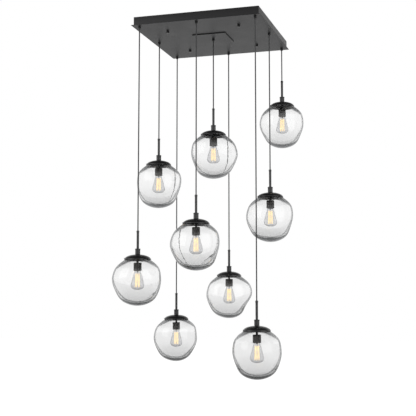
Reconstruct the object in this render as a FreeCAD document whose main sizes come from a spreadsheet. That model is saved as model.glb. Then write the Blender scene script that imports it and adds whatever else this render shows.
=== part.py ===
import FreeCAD, Part
import math
import os
import Sketcher

# Cluster pendant: a square ceiling canopy with nine blown glass globes on straight cords.
# Millimetres, +Z up.  The origin is the middle of the canopy where it meets the ceiling.
# +X runs along the front edge of the canopy and +Y runs from the front edge to the back.

doc = FreeCAD.newDocument("ClusterPendant")
sheet = doc.addObject("Spreadsheet::Sheet", "Sizes")

# Driving dimensions -------------------------------------------------------------------------

SIZES = {
    # canopy
    "canopy_height": 40.0,          # ceiling to the underside of the face plate
    "plate_side": 600.0,
    "plate_thickness": 2.0,
    "plate_lip": 9.0,               # how far the face plate stands out past the box
    "box_sheet": 1.5,
    "box_flange": 10.0,             # width of the flange turned in along the foot of the box
    "centre_plate_side": 158.0,
    "centre_plate_thickness": 4.0,
    "centre_opening_side": 110.0,   # wiring opening in the face plate, under the centre plate
    # bracket on the ceiling
    "bracket_bar_width": 26.0,
    "bracket_cross_width": 50.0,
    "bracket_thickness": 3.0,
    "bracket_end": 24.0,            # length of each side bar past its stud
    "stud_spacing": 338.0,
    "stud_radius": 2.5,
    "stud_end": 7.0,                # length of each stud below the face plate
    "slot_spacing": 89.0,           # screw spacing of a ceiling outlet box
    "slot_length": 18.0,
    "slot_width": 5.0,
    "joist_screw_spacing": 250.0,
    "joist_screw_radius": 2.5,
    "wire_hole_radius": 11.0,
    # nuts and cord grips under the canopy
    "nut_radius": 6.5,
    "nut_height": 10.0,
    "nut_chamfer": 1.0,
    "grip_radius": 6.3,
    "grip_height": 10.0,
    "grip_neck_radius": 5.0,
    "grip_neck_height": 9.0,
    "grip_nut_radius": 8.0,
    "grip_nut_height": 3.0,
    "hole_clearance": 0.3,          # radial gap of screws and necks in sheet holes
    "thread_clearance": 0.05,       # radial gap between threaded pieces
    # cords and where they hang
    "cord_pitch": 270.0,
    "cord_radius": 2.75,
    "cord_seat": 3.2,               # how far each end of a cord reaches into its bush
    "bush_mouth_radius": 5.0,
    "bush_throat_radius": 3.2,
    "bush_depth": 4.6,
    "wire_way_radius": 2.75,
    "cord_front_left": 919.0,       # free length of each cord, from its grip to its stem
    "cord_front_centre": 768.0,
    "cord_front_right": 1230.0,
    "cord_middle_left": 458.0,
    "cord_centre": 325.0,
    "cord_middle_right": 630.0,
    "cord_back_left": 1183.0,
    "cord_back_centre": 974.0,
    "cord_back_right": 153.0,
    # stem, collar and nipple of one pendant
    "tip_radius": 6.3,
    "tip_height": 8.0,
    "tip_chamfer": 1.0,
    "stem_length": 80.0,            # top of the tip to the top of the collar
    "stem_radius": 5.5,
    "stem_bore_radius": 4.0,
    "stem_seat": 12.0,              # how deep the stem is screwed into the collar
    "collar_radius": 12.0,
    "collar_length": 25.5,
    "collar_flange_height": 5.0,
    "collar_waist_radius": 11.2,
    "collar_chamfer": 0.8,
    "nipple_radius": 5.0,
    "nipple_bore_radius": 3.3,
    "nipple_seat": 9.0,             # how deep the nipple is screwed into the collar
    "locknut_radius": 8.5,
    "locknut_height": 4.0,
    # cap over the neck of the globe
    "cap_radius": 59.5,
    "cap_height": 23.5,
    "cap_sheet": 1.5,
    "cap_screw_radius": 1.5,
    "cap_screw_rise": 5.0,          # screw line above the rim of the cap
    "cap_screw_gap": 2.0,           # end of a screw to the neck of the globe
    "cap_screw_head": 1.2,          # how far a screw stands out of the cap
    # lamp socket
    "socket_gap": 13.0,             # rim of the cap to the top of the socket
    "socket_radius": 17.75,
    "socket_length": 36.5,
    "socket_top_wall": 8.0,
    "socket_chamfer": 1.5,
    "socket_bore_radius": 14.0,
    # bulb
    "bulb_length": 86.0,            # mouth of the socket to the bottom of the bulb
    "bulb_radius": 29.5,
    "bulb_widest": 65.0,            # mouth of the socket to the widest place
    "bulb_neck_radius": 13.6,
    "bulb_neck_drop": 3.0,          # mouth of the socket to the foot of the straight neck
    "bulb_skirt": 7.0,              # how far the glass reaches up inside its base
    "bulb_wall": 1.0,
    "base_radius": 13.1,
    "base_length": 24.0,
    "base_sheet": 0.6,
    "base_inset": 1.5,              # mouth of the base above the mouth of the socket
    "contact_radius": 4.6,
    "contact_height": 2.0,
    "filament_radius": 0.45,
    "filament_top": 14.0,           # hooks below the mouth of the socket
    "filament_length": 58.0,
    "filament_tail": 1.0,           # centre rod below the lower hooks
    "cage_top_radius": 6.0,
    "cage_bottom_radius": 9.5,
    "bulb_stem_radius": 3.2,
    "bulb_stem_rise": 2.0,          # glass stem above the mouth of the base
    # globe
    "globe_radius": 105.0,
    "globe_depth": 202.5,           # rim of the cap to the bottom of the globe
    "neck_start": 1.8381,           # where the neck begins, above the rim of the cap
    "globe_wall": 4.0,
    "globe_floor": 12.0,            # the glass is thicker where it gathered at the bottom
    "neck_radius": 50.0,
    "neck_flare": 4.0,              # how much wider the glass is where the neck begins
    "neck_waist": 0.6,              # how much wider it still is halfway up the neck
    "neck_rise": 8.0,               # how far the neck stands up into the cap
    "shoulder_swell": 6.0,          # the shoulder and the foot are a little fuller than an egg
    "shoulder_drop": 30.0,          # fullest shoulder, below the rim of the cap
    "foot_swell": 5.0,
    "foot_height": 20.0,            # fullest foot, above the bottom of the globe
    "lobe_width": 48.0,             # degrees round the globe
    "lobe_reach": 44.0,             # millimetres up and down the globe
}

for row, (alias, value) in enumerate(SIZES.items(), start=1):
    sheet.set(f"A{row}", alias)
    sheet.set(f"B{row}", str(value))
    sheet.setAlias(f"B{row}", alias)
doc.recompute()


def size(alias):
    """One driving dimension, read back from the sheet."""
    return float(sheet.get(alias))


# The nine pendants: column and row of the three by three grid, and what its own globe
# looks like.  Each lobe is (degrees round from +X, height above the bottom, swell) of a
# globe blown free-hand: a swell under 0 is a flat or a dent.

PENDANTS = {
    "front_left": (-1, -1, [(197, 120, 8), (17, 70, -1), (300, 60, -8), (100, 130, -7)]),
    "front_centre": (0, -1, [(197, 115, 9), (17, 75, -6), (110, 70, -7), (275, 60, 5)]),
    "front_right": (1, -1, [(197, 62, -4), (17, 70, -2), (270, 130, 5), (120, 60, -8)]),
    "middle_left": (-1, 0, [(17, 71, -5), (17, 146, 5), (240, 90, -9), (100, 120, 6)]),
    "centre": (0, 0, [(197, 60, -7), (17, 116, 9), (300, 80, -9), (120, 100, 6)]),
    "middle_right": (1, 0, [(197, 115, 6), (17, 68, -6), (280, 55, 5), (90, 90, -8)]),
    "back_left": (-1, 1, [(197, 117, 6), (17, 38, -9), (17, 126, -3), (120, 60, 5)]),
    "back_centre": (0, 1, [(17, 55, -18), (17, 125, 9), (197, 115, 6), (290, 120, -9)]),
    "back_right": (1, 1, [(17, 59, -7), (197, 118, 6), (225, 45, -9), (300, 120, -6)]),
}
GRID = [(column, row) for column in (-1, 0, 1) for row in (-1, 0, 1)]
CORNERS = [(-1, -1), (1, -1), (1, 1), (-1, 1)]


# Helpers ------------------------------------------------------------------------------------

def bind(item, **expressions):
    """Ties properties of an object to the sheet."""
    for name, expression in expressions.items():
        item.setExpression(name, expression)
    return item


def place(item, x="0", y="0", z="0"):
    """Ties the place of an object to the sheet."""
    item.setExpression("Placement.Base.x", x)
    item.setExpression("Placement.Base.y", y)
    item.setExpression("Placement.Base.z", z)
    return item


def cylinder(name, radius, height, x="0", y="0", z="0"):
    item = doc.addObject("Part::Cylinder", name)
    bind(item, Radius=radius, Height=height)
    return place(item, x, y, z)


def block(name, length, width, height, x="0", y="0", z="0"):
    """A box centred on x and y that stands on z."""
    item = doc.addObject("Part::Box", name)
    bind(item, Length=length, Width=width, Height=height)
    return place(item, f"{x} - ({length}) / 2", f"{y} - ({width}) / 2", z)


def fuse(name, pieces):
    item = doc.addObject("Part::MultiFuse", name)
    item.Shapes = pieces
    return item


def cut(name, base, tool):
    item = doc.addObject("Part::Cut", name)
    item.Base = base
    item.Tool = tool
    return item


def group(name, pieces):
    """Separate solids kept together as one sub-part."""
    item = doc.addObject("Part::Compound", name)
    item.Links = pieces
    return item


def origin_plane(body, role):
    return next(plane for plane in body.Origin.OriginFeatures if plane.Role == role)


def add_sketch(body, name, role):
    sketch = body.newObject("Sketcher::SketchObject", name)
    sketch.AttachmentSupport = [(origin_plane(body, role), "")]
    sketch.MapMode = "FlatFace"
    return sketch


def pin(sketch, edge, point, x, y):
    """Holds one point of a sketch at x, y from the sketch's origin."""
    for kind, expression in (("DistanceX", x), ("DistanceY", y)):
        index = sketch.addConstraint(Sketcher.Constraint(kind, -1, 1, edge, point, 1.0))
        sketch.setExpression(f"Constraints[{index}]", expression)


def add_outline(sketch, corners):
    """A closed outline of straight edges, every corner held by the sheet."""
    count = len(corners)
    rough = [FreeCAD.Vector(math.cos(2 * math.pi * i / count) + 2,
                            math.sin(2 * math.pi * i / count) + 2, 0) for i in range(count)]
    edges = [sketch.addGeometry(Part.LineSegment(rough[i], rough[(i + 1) % count]))
             for i in range(count)]
    for i, edge in enumerate(edges):
        sketch.addConstraint(Sketcher.Constraint("Coincident", edge, 2, edges[(i + 1) % count], 1))
    for edge, (x, y) in zip(edges, corners):
        pin(sketch, edge, 1, x, y)


def add_square(sketch, side):
    add_outline(sketch, [(f"({side}) * {x} / 2", f"({side}) * {y} / 2") for x, y in CORNERS])


def add_circle(sketch, x, y, radius):
    edge = sketch.addGeometry(Part.Circle(FreeCAD.Vector(0, 0, 0), FreeCAD.Vector(0, 0, 1), 1))
    pin(sketch, edge, 3, x, y)
    index = sketch.addConstraint(Sketcher.Constraint("Radius", edge, 1.0))
    sketch.setExpression(f"Constraints[{index}]", radius)


def add_pad(body, sketch, name, length):
    pad = body.newObject("PartDesign::Pad", name)
    pad.Profile = sketch
    bind(pad, Length=length)
    return pad


def turned(name, corners):
    """A body turned about Z from the radius and height of each corner of its section."""
    body = doc.addObject("PartDesign::Body", name)
    sketch = add_sketch(body, name + "_section", "XZ_Plane")
    add_outline(sketch, corners)
    turn = body.newObject("PartDesign::Revolution", name + "_turn")
    turn.Profile = sketch
    turn.ReferenceAxis = (sketch, ["V_Axis"])
    turn.Angle = 360.0
    return body


def finish(item, label):
    """Gives a sub-part the name that its file and node have."""
    item.Label = label
    subparts.append(item)
    return item


subparts = []
UNDERSIDE = "-Sizes.canopy_height"
PLATE_TOP = "(Sizes.plate_thickness - Sizes.canopy_height)"

# Canopy box: four walls of folded sheet with a flange turned in along the foot ----------------

BOX_SIDE = "(Sizes.plate_side - 2 * Sizes.plate_lip)"

box = doc.addObject("PartDesign::Body", "CanopyBox")
walls = add_sketch(box, "box_walls", "XY_Plane")
add_square(walls, BOX_SIDE)
add_square(walls, f"{BOX_SIDE} - 2 * Sizes.box_sheet")
add_pad(box, walls, "box_wall_pad", "Sizes.canopy_height - Sizes.plate_thickness")
flange = add_sketch(box, "box_flange", "XY_Plane")
add_square(flange, BOX_SIDE)
add_square(flange, f"{BOX_SIDE} - 2 * Sizes.box_flange")
add_pad(box, flange, "box_flange_pad", "Sizes.box_sheet")
place(box, z=PLATE_TOP)
finish(box, "canopy_box")

# Face plate: the square sheet that closes the canopy and carries the cord grips ---------------

STUD_OFFSET = "Sizes.stud_spacing / 2"
GRIP_HOLE = "Sizes.grip_neck_radius + Sizes.hole_clearance"

plate = doc.addObject("PartDesign::Body", "FacePlate")
plate_outline = add_sketch(plate, "plate_outline", "XY_Plane")
add_square(plate_outline, "Sizes.plate_side")
add_square(plate_outline, "Sizes.centre_opening_side")
for column, row in GRID:
    if (column, row) != (0, 0):
        add_circle(plate_outline, f"Sizes.cord_pitch * {column}", f"Sizes.cord_pitch * {row}", GRIP_HOLE)
for x, y in CORNERS:
    add_circle(plate_outline, f"{STUD_OFFSET} * {x}", f"{STUD_OFFSET} * {y}",
               "Sizes.stud_radius + Sizes.hole_clearance")
add_pad(plate, plate_outline, "plate_pad", "Sizes.plate_thickness")
place(plate, z=UNDERSIDE)
finish(plate, "face_plate")

# Centre plate: covers the wiring opening and carries the middle cord grip ---------------------

centre = doc.addObject("PartDesign::Body", "CentrePlate")
centre_outline = add_sketch(centre, "centre_outline", "XY_Plane")
add_square(centre_outline, "Sizes.centre_plate_side")
add_circle(centre_outline, "0", "0", GRIP_HOLE)
add_pad(centre, centre_outline, "centre_pad", "Sizes.centre_plate_thickness")
place(centre, z=f"{UNDERSIDE} - Sizes.centre_plate_thickness")
finish(centre, "centre_plate")

# Mounting bracket: two side bars on a slotted cross bar, with four welded studs ---------------

BRACKET_FOOT = "-Sizes.bracket_thickness"
BRACKET_CUT = dict(z="-2 * Sizes.bracket_thickness")
CUT_HEIGHT = "3 * Sizes.bracket_thickness"
SIDE_BAR_LENGTH = "Sizes.stud_spacing + 2 * Sizes.bracket_end"

bars = [block(f"side_bar_{side}", "Sizes.bracket_bar_width", SIDE_BAR_LENGTH,
              "Sizes.bracket_thickness", x=f"{STUD_OFFSET} * {sign}", z=BRACKET_FOOT)
        for side, sign in (("left", -1), ("right", 1))]
bars.append(block("cross_bar", "Sizes.stud_spacing", "Sizes.bracket_cross_width",
                  "Sizes.bracket_thickness", z=BRACKET_FOOT))
openings = [cylinder("wire_hole", "Sizes.wire_hole_radius", CUT_HEIGHT, **BRACKET_CUT)]
for side, sign in (("left", -1), ("right", 1)):
    slot_centre = f"Sizes.slot_spacing * {sign} / 2"
    openings.append(block(f"slot_{side}", "Sizes.slot_length - Sizes.slot_width",
                          "Sizes.slot_width", CUT_HEIGHT, x=slot_centre, **BRACKET_CUT))
    for end in (-1, 1):
        openings.append(cylinder(f"slot_end_{side}", "Sizes.slot_width / 2", CUT_HEIGHT,
                                 x=f"{slot_centre} + (Sizes.slot_length - Sizes.slot_width) * {end} / 2",
                                 **BRACKET_CUT))
for x, y in CORNERS:
    openings.append(cylinder("joist_screw_hole", "Sizes.joist_screw_radius", CUT_HEIGHT,
                             x=f"{STUD_OFFSET} * {x}", y=f"Sizes.joist_screw_spacing * {y} / 2",
                             **BRACKET_CUT))
frame = cut("bracket_frame", fuse("bracket_bars", bars), fuse("bracket_openings", openings))
studs = [cylinder("stud", "Sizes.stud_radius",
                  "Sizes.canopy_height + Sizes.stud_end - Sizes.bracket_thickness / 2",
                  x=f"{STUD_OFFSET} * {x}", y=f"{STUD_OFFSET} * {y}",
                  z=f"{UNDERSIDE} - Sizes.stud_end")
         for x, y in CORNERS]
finish(fuse("Bracket", [frame] + studs), "mounting_bracket")

# Thumb nuts: four knurled nuts that draw the canopy up against the ceiling --------------------

STUD_BORE = "Sizes.stud_radius + Sizes.thread_clearance"
nut = turned("ThumbNut", [
    (STUD_BORE, "0"),
    ("Sizes.nut_radius - Sizes.nut_chamfer", "0"),
    ("Sizes.nut_radius", "-Sizes.nut_chamfer"),
    ("Sizes.nut_radius", "Sizes.nut_chamfer - Sizes.nut_height"),
    ("Sizes.nut_radius - Sizes.nut_chamfer", "-Sizes.nut_height"),
    ("0", "-Sizes.nut_height"),
    ("0", "-Sizes.stud_end - Sizes.hole_clearance"),
    (STUD_BORE, "-Sizes.stud_end - Sizes.hole_clearance"),
])
nuts = []
for x, y in CORNERS:
    placed_nut = group("PlacedNut", [nut])
    place(placed_nut, f"{STUD_OFFSET} * {x}", f"{STUD_OFFSET} * {y}", UNDERSIDE)
    nuts.append(placed_nut)
finish(group("ThumbNuts", nuts), "thumb_nuts")

# Cord grips: nine turned bushes with a neck through the plate and a nut on its inner side -----
# The mouth of each bush is flared, so that the cord can swing in it.

grip = turned("CordGrip", [
    ("Sizes.bush_throat_radius", "Sizes.bush_depth - Sizes.grip_height"),
    ("Sizes.bush_mouth_radius", "-Sizes.grip_height"),
    ("Sizes.grip_radius", "-Sizes.grip_height"),
    ("Sizes.grip_radius", "0"),
    ("Sizes.grip_neck_radius", "0"),
    ("Sizes.grip_neck_radius", "Sizes.grip_neck_height"),
    ("Sizes.wire_way_radius", "Sizes.grip_neck_height"),
    ("Sizes.wire_way_radius", "Sizes.bush_depth - Sizes.grip_height"),
])
grip_nut_blank = doc.addObject("Part::Prism", "grip_nut_blank")
grip_nut_blank.Polygon = 6
bind(grip_nut_blank, Circumradius="Sizes.grip_nut_radius", Height="Sizes.grip_nut_height")
grip_nut = cut("GripNut", grip_nut_blank,
               cylinder("grip_nut_bore", "Sizes.grip_neck_radius + Sizes.thread_clearance",
                        "Sizes.grip_nut_height"))
grips = []
for column, row in GRID:
    is_centre = (column, row) == (0, 0)
    seat = f"{UNDERSIDE} - Sizes.centre_plate_thickness" if is_centre else UNDERSIDE
    sheet_under = "Sizes.centre_plate_thickness" if is_centre else "Sizes.plate_thickness"
    spot = (f"Sizes.cord_pitch * {column}", f"Sizes.cord_pitch * {row}")
    placed_grip = group("PlacedGrip", [grip])
    place(placed_grip, *spot, seat)
    placed_grip_nut = group("PlacedGripNut", [grip_nut])
    place(placed_grip_nut, *spot, f"{seat} + {sheet_under}")
    grips += [placed_grip, placed_grip_nut]
finish(group("CordGrips", grips), "cord_grips")

# Pieces that every pendant has alike, in its own frame: its top is at 0 -----------------------

COLLAR_TOP = "-Sizes.stem_length"
CAP_TOP = "(-Sizes.stem_length - Sizes.collar_length)"
CAP_RIM = f"({CAP_TOP} - Sizes.cap_height)"
SOCKET_TOP = f"({CAP_RIM} - Sizes.socket_gap)"
SOCKET_MOUTH = f"({SOCKET_TOP} - Sizes.socket_length)"

# Tip: the flared bush on top of the stem, where the cord goes in
tip = turned("Tip", [
    ("Sizes.bush_mouth_radius", "0"),
    ("Sizes.bush_throat_radius", "-Sizes.bush_depth"),
    ("Sizes.wire_way_radius", "-Sizes.bush_depth"),
    ("Sizes.wire_way_radius", "-Sizes.tip_height"),
    ("Sizes.tip_radius", "-Sizes.tip_height"),
    ("Sizes.tip_radius", "-Sizes.tip_chamfer"),
    ("Sizes.tip_radius - Sizes.tip_chamfer / 2", "0"),
])

# Stem: a length of threaded lamp pipe
stem = turned("Stem", [
    ("Sizes.stem_bore_radius", "-Sizes.tip_height"),
    ("Sizes.stem_radius", "-Sizes.tip_height"),
    ("Sizes.stem_radius", f"{COLLAR_TOP} - Sizes.stem_seat"),
    ("Sizes.stem_bore_radius", f"{COLLAR_TOP} - Sizes.stem_seat"),
])

# Collar: a turned coupling, wider at its top, that joins the stem to the nipple
STEM_BORE = "Sizes.stem_radius + Sizes.thread_clearance"
NIPPLE_BORE = "Sizes.nipple_radius + Sizes.thread_clearance"
collar = turned("Collar", [
    (STEM_BORE, COLLAR_TOP),
    ("Sizes.collar_radius - Sizes.collar_chamfer", COLLAR_TOP),
    ("Sizes.collar_radius", f"{COLLAR_TOP} - Sizes.collar_chamfer"),
    ("Sizes.collar_radius", f"{COLLAR_TOP} - Sizes.collar_flange_height"),
    ("Sizes.collar_waist_radius", f"{COLLAR_TOP} - Sizes.collar_flange_height"),
    ("Sizes.collar_waist_radius", CAP_TOP),
    (NIPPLE_BORE, CAP_TOP),
    (NIPPLE_BORE, f"{CAP_TOP} + Sizes.nipple_seat"),
    ("Sizes.nipple_bore_radius", f"{CAP_TOP} + Sizes.nipple_seat"),
    ("Sizes.nipple_bore_radius", f"{COLLAR_TOP} - Sizes.stem_seat"),
    (STEM_BORE, f"{COLLAR_TOP} - Sizes.stem_seat"),
])

# Nipple: the threaded tube that carries the cap and the socket
NIPPLE_FOOT = f"({SOCKET_TOP} - Sizes.socket_top_wall)"
nipple = turned("Nipple", [
    ("Sizes.nipple_bore_radius", f"{CAP_TOP} + Sizes.nipple_seat"),
    ("Sizes.nipple_radius", f"{CAP_TOP} + Sizes.nipple_seat"),
    ("Sizes.nipple_radius", NIPPLE_FOOT),
    ("Sizes.nipple_bore_radius", NIPPLE_FOOT),
])

# Locknut: a hexagon nut that holds the cap up against the collar
LOCKNUT_FOOT = f"{CAP_TOP} - Sizes.cap_sheet - Sizes.hole_clearance - Sizes.locknut_height"
locknut_blank = doc.addObject("Part::Prism", "locknut_blank")
locknut_blank.Polygon = 6
bind(locknut_blank, Circumradius="Sizes.locknut_radius", Height="Sizes.locknut_height")
place(locknut_blank, z=LOCKNUT_FOOT)
locknut = cut("Locknut", locknut_blank,
              cylinder("locknut_bore", NIPPLE_BORE, "Sizes.locknut_height", z=LOCKNUT_FOOT))

# Cap: a spun dome, half of a flattened ball, with three screws round its rim
dome = doc.addObject("Part::Ellipsoid", "dome")
bind(dome, Radius1="Sizes.cap_height", Radius2="Sizes.cap_radius", Radius3="Sizes.cap_radius")
dome.Angle1 = 0.0
dome.Angle2 = 90.0
hollow = doc.addObject("Part::Ellipsoid", "dome_hollow")
bind(hollow, Radius1="Sizes.cap_height - Sizes.cap_sheet",
     Radius2="Sizes.cap_radius - Sizes.cap_sheet", Radius3="Sizes.cap_radius - Sizes.cap_sheet")
hollow.Angle1 = -90.0
hollow.Angle2 = 90.0
place(dome, z=CAP_RIM)
place(hollow, z=CAP_RIM)
SCREW_FOOT = "(Sizes.neck_radius + Sizes.cap_screw_gap)"
SCREW_LENGTH = f"Sizes.cap_radius + Sizes.cap_screw_head - {SCREW_FOOT}"
cap_holes = [cylinder("cap_hole", "Sizes.nipple_radius + Sizes.hole_clearance",
                      "2 * Sizes.cap_height", z=CAP_RIM)]
cap_screws = []
for turn_angle in (90, 210, 330):
    outward = FreeCAD.Vector(math.cos(math.radians(turn_angle)),
                             math.sin(math.radians(turn_angle)), 0)
    along = FreeCAD.Rotation(FreeCAD.Vector(0, 0, 1), outward)
    spot = [f"{SCREW_FOOT} * {outward.x:.6f}", f"{SCREW_FOOT} * {outward.y:.6f}",
            f"{CAP_RIM} + Sizes.cap_screw_rise"]
    for name, radius, pieces in (
            ("cap_screw", "Sizes.cap_screw_radius", cap_screws),
            ("cap_screw_hole", "Sizes.cap_screw_radius + Sizes.thread_clearance", cap_holes)):
        rod = cylinder(name, radius, SCREW_LENGTH)
        rod.Placement.Rotation = along
        pieces.append(place(rod, *spot))
shell = cut("cap_shell", dome, hollow)
cap = cut("Cap", shell, fuse("cap_holes", cap_holes))

# Socket: the moulded lamp holder, with its mouth down
socket = turned("Socket", [
    (NIPPLE_BORE, SOCKET_TOP),
    ("Sizes.socket_radius - Sizes.socket_chamfer", SOCKET_TOP),
    ("Sizes.socket_radius", f"{SOCKET_TOP} - Sizes.socket_chamfer"),
    ("Sizes.socket_radius", f"{SOCKET_MOUTH} + Sizes.socket_chamfer"),
    ("Sizes.socket_radius - Sizes.socket_chamfer", SOCKET_MOUTH),
    ("Sizes.socket_bore_radius", SOCKET_MOUTH),
    ("Sizes.socket_bore_radius", f"{SOCKET_TOP} - Sizes.socket_top_wall"),
    (NIPPLE_BORE, f"{SOCKET_TOP} - Sizes.socket_top_wall"),
])

# Screw base of the bulb: a thin cup with a contact on its end
BASE_MOUTH = f"({SOCKET_MOUTH} + Sizes.base_inset)"
BASE_TOP = f"({BASE_MOUTH} + Sizes.base_length)"
BASE_SHOULDER = f"{BASE_TOP} - Sizes.contact_height * 2"
base = turned("BulbBase", [
    ("0", BASE_TOP),
    ("Sizes.contact_radius", BASE_TOP),
    ("Sizes.contact_radius", f"{BASE_TOP} - Sizes.contact_height"),
    ("Sizes.base_radius", BASE_SHOULDER),
    ("Sizes.base_radius", BASE_MOUTH),
    ("Sizes.base_radius - Sizes.base_sheet", BASE_MOUTH),
    ("Sizes.base_radius - Sizes.base_sheet", f"{BASE_SHOULDER} - Sizes.base_sheet"),
    ("0", f"{BASE_SHOULDER} - Sizes.base_sheet"),
])
doc.recompute()

# Heights of one pendant, as numbers for the blown pieces
cap_rim = -(size("stem_length") + size("collar_length") + size("cap_height"))
socket_mouth = cap_rim - size("socket_gap") - size("socket_length")


CUT_PAST = 1.0          # how far a cutting solid runs past the face it opens
FLANK_BOW = 0.1         # how much the flank of the bulb bows out of a straight cone
FLANK_SHARES = (0.3, 0.6)
ROUND_ANGLES = (math.radians(30), math.radians(60))


def bulb_profile(inset):
    """Radius and drop below the socket of a pear-shaped bulb, inset by the wall."""
    skirt = size("base_radius") - size("base_sheet") - size("hole_clearance")
    skirt_foot = -size("base_inset")
    neck = size("bulb_neck_radius")
    widest = size("bulb_widest")
    radius = size("bulb_radius")
    bottom = size("bulb_length")
    side = [(skirt, skirt_foot - size("bulb_skirt")), (skirt, skirt_foot), (neck, size("bulb_neck_drop"))]
    for share in FLANK_SHARES:
        side.append((neck + (radius - neck) * share * (1 + FLANK_BOW * (1 - share)), widest * share))
    side.append((radius, widest))
    for angle in ROUND_ANGLES:
        side.append((radius * math.cos(angle), widest + (bottom - widest) * math.sin(angle)))
    return [(r - inset, drop) for r, drop in side] + [(0.0, bottom - inset)]


def turned_glass(profile):
    """A solid turned from a smooth profile that ends on the axis."""
    points = [FreeCAD.Vector(radius, 0, socket_mouth - drop) for radius, drop in profile]
    curve = Part.BSplineCurve()
    curve.interpolate(points)
    top = FreeCAD.Vector(0, 0, points[0].z)
    wire = Part.Wire([curve.toShape(), Part.makeLine(points[-1], top), Part.makeLine(top, points[0])])
    return Part.Face(wire).revolve(FreeCAD.Vector(0, 0, 0), FreeCAD.Vector(0, 0, 1), 360)


inner_profile = bulb_profile(size("bulb_wall"))
skirt_radius_inside, skirt_top = inner_profile[0]
inner_profile[0] = (skirt_radius_inside, skirt_top - CUT_PAST)
envelope = doc.addObject("Part::Feature", "Envelope")
envelope.Shape = turned_glass(bulb_profile(0.0)).cut(turned_glass(inner_profile))

# Filament: strands hooked between the top and the bottom of a slender cage, on spokes that
# stand out from a rod in the middle
STRAND_COUNT = 8


def rod_between(start, end, radius):
    return Part.makeCylinder(radius, (end - start).Length, start, end - start)


def on_axis(z):
    return FreeCAD.Vector(0, 0, z)


strand_radius = size("filament_radius")
upper_hooks = socket_mouth - size("filament_top")
lower_hooks = upper_hooks - size("filament_length")
hooks = []
for i in range(STRAND_COUNT):
    is_low = i % 2 == 1
    reach = size("cage_bottom_radius") if is_low else size("cage_top_radius")
    angle = 2 * math.pi * i / STRAND_COUNT
    hooks.append(FreeCAD.Vector(reach * math.cos(angle), reach * math.sin(angle),
                                lower_hooks if is_low else upper_hooks))
cage = [rod_between(start, end, strand_radius) for start, end in zip(hooks, hooks[1:] + hooks[:1])]
cage += [rod_between(on_axis(hook.z), hook, strand_radius) for hook in hooks]
cage.append(rod_between(on_axis(upper_hooks), on_axis(lower_hooks - size("filament_tail")), strand_radius))
cage.append(rod_between(on_axis(upper_hooks),
                        on_axis(socket_mouth + size("base_inset") + size("bulb_stem_rise")),
                        size("bulb_stem_radius")))
filament = doc.addObject("Part::Feature", "Filament")
filament.Shape = cage[0].multiFuse(cage[1:])

# Globes: clear glass blown free-hand, each pulled out of round in its own way -----------------

POINTS_ROUND = 24       # points round each ring that the glass is drawn through
RING_STEPS = 11         # rings from the bottom of the egg to its shoulder
FIRST_RING = 9.0        # degrees up from the bottom pole
POLE_SHARE = 0.5        # lobes fade out inside this share of the globe's radius
RIM_FADE = 12           # power with which they fade out towards the neck
SWELL_REACH = 30.0      # how far up and down the fuller shoulder and foot run
TURN = 360.0            # degrees


def swell(lobes, angle, height):
    """How far the glass stands out of the plain egg, at an angle and a height."""
    rim = size("globe_depth")
    fade = 1.0 - min(1.0, max(0.0, height / rim)) ** RIM_FADE
    fullest = rim - size("shoulder_drop")
    total = size("shoulder_swell") * math.exp(-((height - fullest) / SWELL_REACH) ** 2)
    total += size("foot_swell") * math.exp(-((height - size("foot_height")) / SWELL_REACH) ** 2)
    for lobe_angle, lobe_height, amount in lobes:
        round_it = (angle - lobe_angle + TURN / 2) % TURN - TURN / 2
        total += amount * math.exp(-(round_it / size("lobe_width")) ** 2
                                   - ((height - lobe_height) / size("lobe_reach")) ** 2)
    return total * fade


def egg_height():
    """Height of the whole egg whose side meets the neck at the right level and width."""
    top_share = (size("neck_radius") + size("neck_flare")) / size("globe_radius")
    return (size("globe_depth") + size("neck_start")) * 2.0 / (1.0 + math.cos(math.asin(top_share)))


def egg_levels(inset, floor):
    """Radius and height of the plain egg, from near its bottom pole to its neck."""
    radius = size("globe_radius") - inset
    neck = size("neck_radius") - inset
    half = (egg_height() - floor - inset) / 2.0
    last_ring = TURN / 2 - math.degrees(math.asin((neck + size("neck_flare")) / radius))
    levels = []
    for step in range(RING_STEPS + 1):
        angle = math.radians(FIRST_RING + (last_ring - FIRST_RING) * step / RING_STEPS)
        levels.append((radius * math.sin(angle), floor + half * (1.0 - math.cos(angle))))
    neck_top = size("globe_depth") + size("neck_rise")
    levels.append((neck + size("neck_waist"), (levels[-1][1] + neck_top) / 2.0))
    levels.append((neck, neck_top if inset == 0 else neck_top + CUT_PAST))
    return levels


def blown_solid(lobes, inset, floor):
    """A closed solid through level rings, from the bottom of the globe to its neck."""
    rings = []
    for radius, height in egg_levels(inset, floor):
        pole_fade = min(1.0, radius / (POLE_SHARE * size("globe_radius")))
        points = []
        for i in range(POINTS_ROUND):
            angle = TURN * i / POINTS_ROUND
            reach = radius + swell(lobes, angle, height) * pole_fade
            points.append(FreeCAD.Vector(reach * math.cos(math.radians(angle)),
                                         reach * math.sin(math.radians(angle)), height))
        curve = Part.BSplineCurve()
        curve.interpolate(points, PeriodicFlag=True)
        rings.append(Part.Wire([curve.toShape()]))
    return Part.makeLoft(rings, True, False)


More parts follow.
